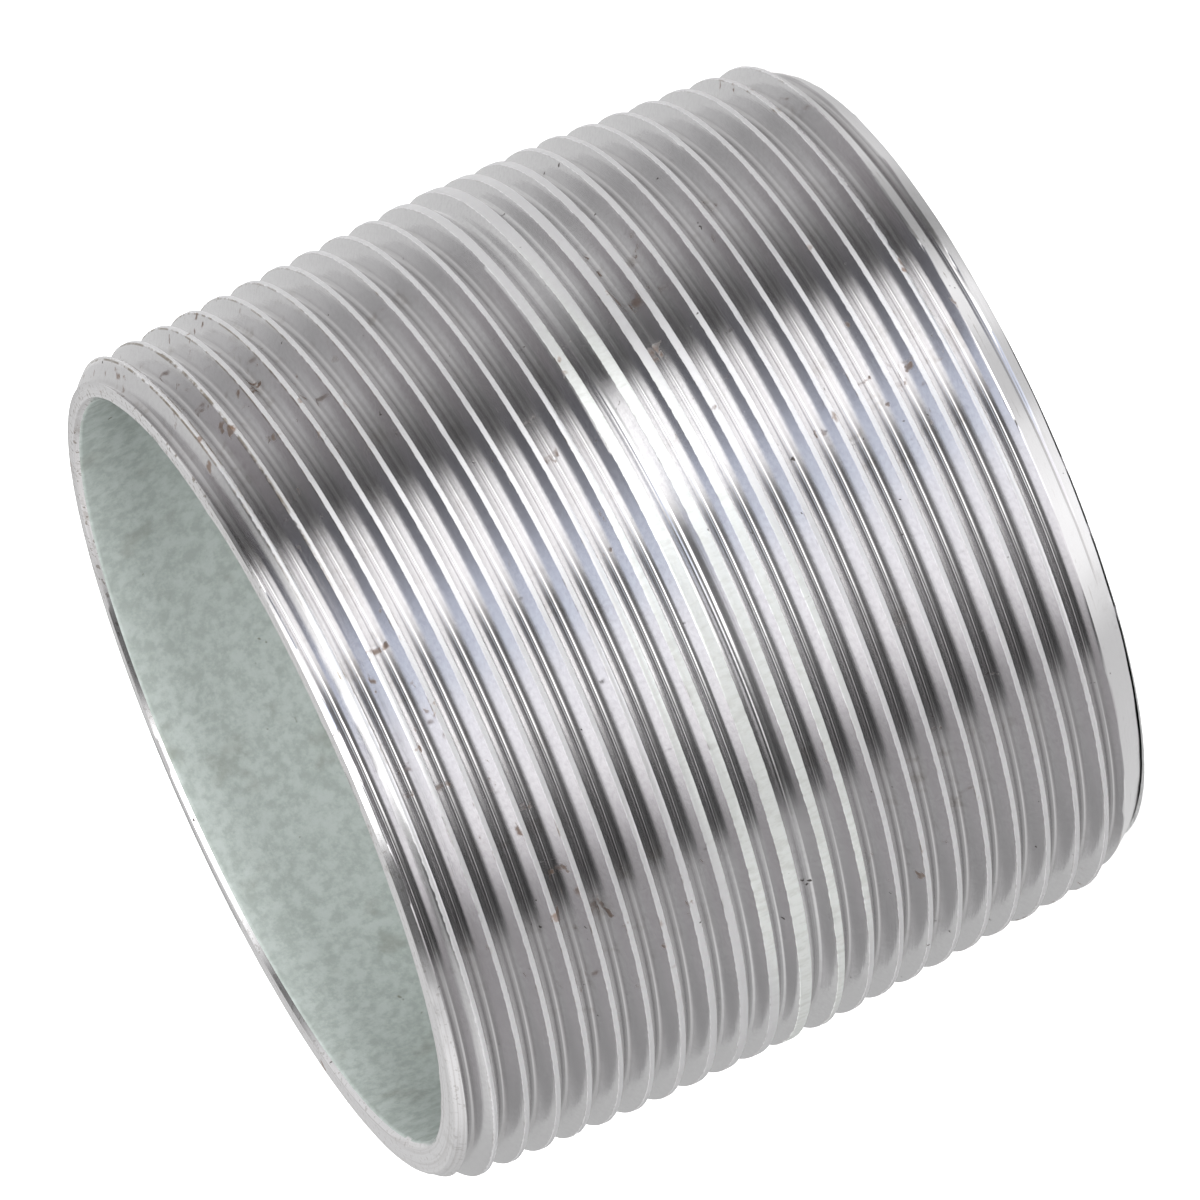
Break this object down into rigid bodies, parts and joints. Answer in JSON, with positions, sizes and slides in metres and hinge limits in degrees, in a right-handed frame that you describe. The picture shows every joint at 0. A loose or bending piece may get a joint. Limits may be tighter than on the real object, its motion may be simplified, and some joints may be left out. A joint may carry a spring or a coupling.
{
  "type": "threaded pipe nipple",
  "caption": "Short galvanised steel pipe with a taper thread cut from each end, for joining two female threaded pipe fittings close together.",
  "frame": {"origin": "centre of the lower end face, on the pipe's axis", "axes": "+Z along the pipe's axis, from the lower end face to the upper one; the nipple stands on its lower end face"},
  "size_m": [0.0604, 0.0604, 0.0508],
  "materials": {
    "zinc_coat": "hot-dip galvanised, machined bright on the threads and chamfers"
  },
  "bodies": {
    "root": {"nipple_body": "zinc_coat"}
  },
  "joints": []
}
